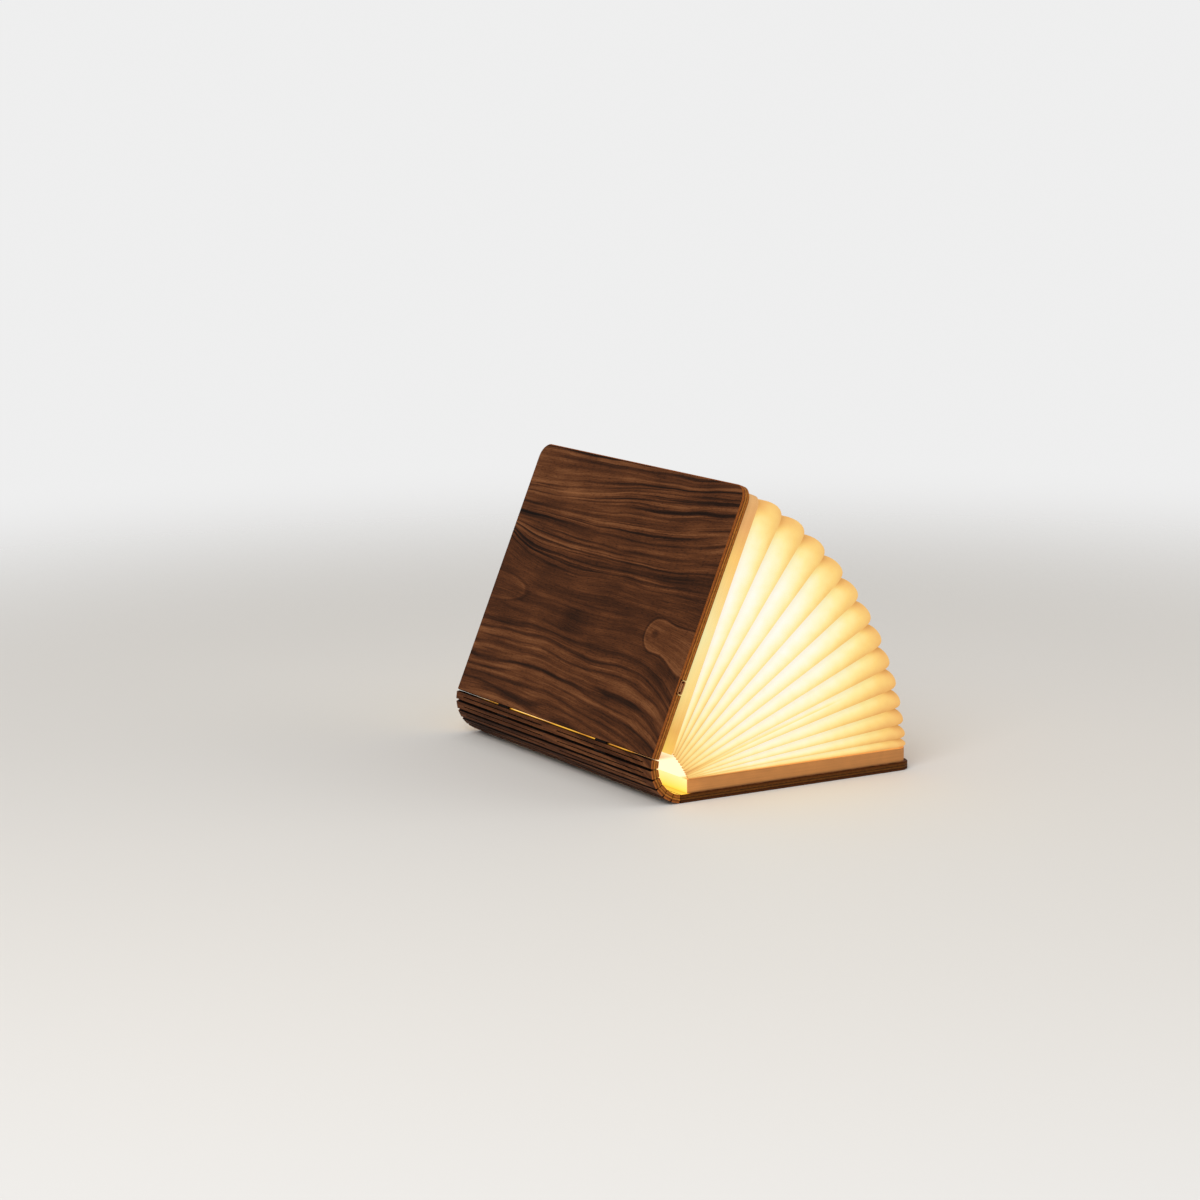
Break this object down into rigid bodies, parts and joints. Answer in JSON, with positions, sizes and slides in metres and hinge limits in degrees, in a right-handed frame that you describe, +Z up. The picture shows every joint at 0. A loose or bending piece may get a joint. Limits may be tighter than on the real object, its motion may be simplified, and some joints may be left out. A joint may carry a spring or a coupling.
{
  "type": "folding book lamp",
  "caption": "Book-shaped lamp with wooden covers on a lattice-cut living hinge and a pleated translucent paper shade that fans open between them.",
  "frame": {"origin": "centre of the back cover's underside, on the surface that the lamp lies on", "axes": "+X from the spine to the back cover's fore-edge, +Y along the spine, +Z up out of the back cover towards the pages"},
  "size_m": [0.1769, 0.224, 0.1726],
  "materials": {
    "walnut_ply": "dark walnut veneer on laser-cut plywood, satin",
    "page_block_paper": "off-white spun paper wrap, matt",
    "shade_paper": "translucent spun paper lit warm from inside, matt",
    "light_bar": "white solder-masked bar",
    "led_lens": "warm phosphor, lit",
    "circuit_board": "green solder mask",
    "chip_plastic": "moulded black",
    "socket_steel": "plated sheet steel",
    "cell_foil": "pouch foil",
    "lead_sleeve": "coloured lead insulation",
    "magnet_nickel": "nickel-plated"
  },
  "bodies": {
    "back_cover": {"back_cover": "walnut_ply", "back_page_block": "page_block_paper", "back_endpaper": "page_block_paper", "switch_magnet": "magnet_nickel", "back_magnets": "magnet_nickel", "shade_fan_1": "shade_paper"},
    "slat_1": {"spine_slat_1": "walnut_ply", "shade_fan_2": "shade_paper"},
    "slat_2": {"spine_slat_2": "walnut_ply", "shade_fan_3": "shade_paper"},
    "slat_3": {"spine_slat_3": "walnut_ply", "shade_fan_4": "shade_paper"},
    "slat_4": {"spine_slat_4": "walnut_ply", "shade_fan_5": "shade_paper"},
    "slat_5": {"spine_slat_5": "walnut_ply", "shade_fan_6": "shade_paper"},
    "slat_6": {"spine_slat_6": "walnut_ply", "shade_fan_7": "shade_paper"},
    "front_cover": {"front_cover": "walnut_ply", "front_page_block": "page_block_paper", "front_endpaper": "page_block_paper", "light_bar": "light_bar", "led_row": "led_lens", "control_board": "circuit_board", "hall_switch": "chip_plastic", "charge_socket": "socket_steel", "battery_cell": "cell_foil", "inner_leads": "lead_sleeve", "front_magnets": "magnet_nickel"}
  },
  "joints": [
    {"name": "spine_bend_1", "type": "hinge", "parent": "back_cover", "child": "slat_1", "pos_m": [-0.079, 0, 0.0018], "axis": [0, -1, 0], "range_deg": [-9.57, 41.86], "deforming": ["shade_fan_1"]},
    {"name": "spine_bend_2", "type": "hinge", "parent": "slat_1", "child": "slat_2", "pos_m": [-0.08438, 0, 0.00336], "axis": [0, -1, 0], "range_deg": [-9.57, 41.86], "deforming": ["shade_fan_2"]},
    {"name": "spine_bend_3", "type": "hinge", "parent": "slat_2", "child": "slat_3", "pos_m": [-0.08911, 0, 0.00635], "axis": [0, -1, 0], "range_deg": [-9.57, 41.86], "deforming": ["shade_fan_3"]},
    {"name": "spine_bend_4", "type": "hinge", "parent": "slat_3", "child": "slat_4", "pos_m": [-0.09283, 0, 0.01054], "axis": [0, -1, 0], "range_deg": [-9.57, 41.86], "deforming": ["shade_fan_4"]},
    {"name": "spine_bend_5", "type": "hinge", "parent": "slat_4", "child": "slat_5", "pos_m": [-0.09523, 0, 0.0156], "axis": [0, -1, 0], "range_deg": [-9.57, 41.86], "deforming": ["shade_fan_5"]},
    {"name": "spine_bend_6", "type": "hinge", "parent": "slat_5", "child": "slat_6", "pos_m": [-0.09614, 0, 0.02112], "axis": [0, -1, 0], "range_deg": [-9.57, 41.86], "deforming": ["shade_fan_6"]},
    {"name": "spine_bend_7", "type": "hinge", "parent": "slat_6", "child": "front_cover", "pos_m": [-0.09547, 0, 0.02668], "axis": [0, -1, 0], "range_deg": [-9.57, 41.86], "deforming": ["shade_fan_7"]}
  ],
  "couplings": [
    {"joint": "spine_bend_2", "follows": "spine_bend_1", "ratio": 1},
    {"joint": "spine_bend_3", "follows": "spine_bend_1", "ratio": 1},
    {"joint": "spine_bend_4", "follows": "spine_bend_1", "ratio": 1},
    {"joint": "spine_bend_5", "follows": "spine_bend_1", "ratio": 1},
    {"joint": "spine_bend_6", "follows": "spine_bend_1", "ratio": 1},
    {"joint": "spine_bend_7", "follows": "spine_bend_1", "ratio": 1}
  ]
}
